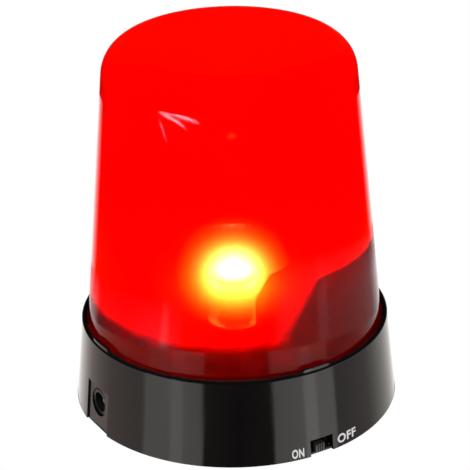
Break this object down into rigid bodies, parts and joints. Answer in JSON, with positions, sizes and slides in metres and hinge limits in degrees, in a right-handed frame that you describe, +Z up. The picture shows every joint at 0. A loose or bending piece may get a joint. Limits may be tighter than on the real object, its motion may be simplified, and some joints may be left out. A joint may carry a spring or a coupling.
{
  "type": "rotating warning light",
  "caption": "Red translucent beacon dome on a round black base, with a slide switch, an adaptor socket and a turning reflector round a central lamp.",
  "frame": {"origin": "centre of the round base on the surface it stands on", "axes": "+Z up along the turning axis, -Y towards the slide switch, -X towards the adaptor socket"},
  "size_m": [0.0995, 0.1008, 0.1182],
  "materials": {
    "black_gloss": "high gloss moulded ABS",
    "black_satin": "satin moulded plastic",
    "red_lens": "translucent tinted gloss",
    "mirror_chrome": "bright plated",
    "white_plastic": "satin",
    "battery_wrap": "printed sleeve without lettering",
    "contact_nickel": "nickel plated",
    "foot_rubber": "matte",
    "board_green": "solder mask",
    "led_glow": "lit",
    "wire_red": "insulation",
    "wire_black": "insulation",
    "zinc_steel": "zinc plated"
  },
  "bodies": {
    "base": {"base_housing": "black_gloss", "base_cover": "black_satin", "adaptor_socket": "black_satin", "socket_pin": "zinc_steel", "switch_body": "black_satin", "deck_plate": "black_satin", "led_board": "white_plastic", "led": "led_glow", "turntable_clip": "zinc_steel", "motor_can": "zinc_steel", "motor_end_cap": "black_satin", "motor_screw_1": "zinc_steel", "motor_screw_2": "zinc_steel", "circuit_board": "board_green", "driver_chip": "black_satin", "capacitor": "battery_wrap", "battery_1": "battery_wrap", "battery_2": "battery_wrap", "battery_3": "battery_wrap", "contact_plate_1": "contact_nickel", "contact_plate_2": "contact_nickel", "contact_plate_3": "contact_nickel", "contact_spring_1": "contact_nickel", "contact_spring_2": "contact_nickel", "contact_spring_3": "contact_nickel", "cover_screw_1": "zinc_steel", "cover_screw_2": "zinc_steel", "cover_screw_3": "zinc_steel", "cover_screw_4": "zinc_steel", "deck_screw_1": "zinc_steel", "deck_screw_2": "zinc_steel", "deck_screw_3": "zinc_steel", "deck_screw_4": "zinc_steel", "foot_1": "foot_rubber", "foot_2": "foot_rubber", "foot_3": "foot_rubber", "foot_4": "foot_rubber", "led_wire_red": "wire_red", "led_wire_black": "wire_black", "motor_wire_red": "wire_red", "motor_wire_black": "wire_black", "battery_wire_red": "wire_red", "battery_wire_black": "wire_black", "socket_wire_red": "wire_red", "switch_wire_red": "wire_red"},
    "dome": {"dome_lens": "red_lens"},
    "turntable": {"turntable_gear": "white_plastic", "reflector": "mirror_chrome", "reflector_screw_1": "zinc_steel", "reflector_screw_2": "zinc_steel", "reflector_screw_3": "zinc_steel"},
    "motor_rotor": {"motor_pinion": "white_plastic", "motor_shaft": "zinc_steel"},
    "switch_knob": {"switch_knob": "black_satin"},
    "battery_door": {"battery_door": "black_satin"}
  },
  "joints": [
    {"name": "dome_twist", "type": "hinge", "parent": "base", "child": "dome", "pos_m": [0, 0, 0.0224], "axis": [0, 0, 1], "range_deg": [0, 20]},
    {"name": "rotor_spin", "type": "hinge", "parent": "base", "child": "turntable", "pos_m": [0, 0, 0.0219], "axis": [0, 0, 1], "continuous": true},
    {"name": "motor_spin", "type": "hinge", "parent": "base", "child": "motor_rotor", "pos_m": [0, -0.0261, 0.022], "axis": [0, 0, 1], "continuous": true},
    {"name": "switch_slide", "type": "slide", "parent": "base", "child": "switch_knob", "axis": [1, 0, 0], "range_m": [0, 0.0026]},
    {"name": "battery_door_hinge", "type": "hinge", "parent": "base", "child": "battery_door", "pos_m": [0, 0.031, 0.0017], "axis": [1, 0, 0], "range_deg": [0, 95]}
  ],
  "couplings": [
    {"joint": "motor_spin", "follows": "rotor_spin", "ratio": -5.5}
  ]
}
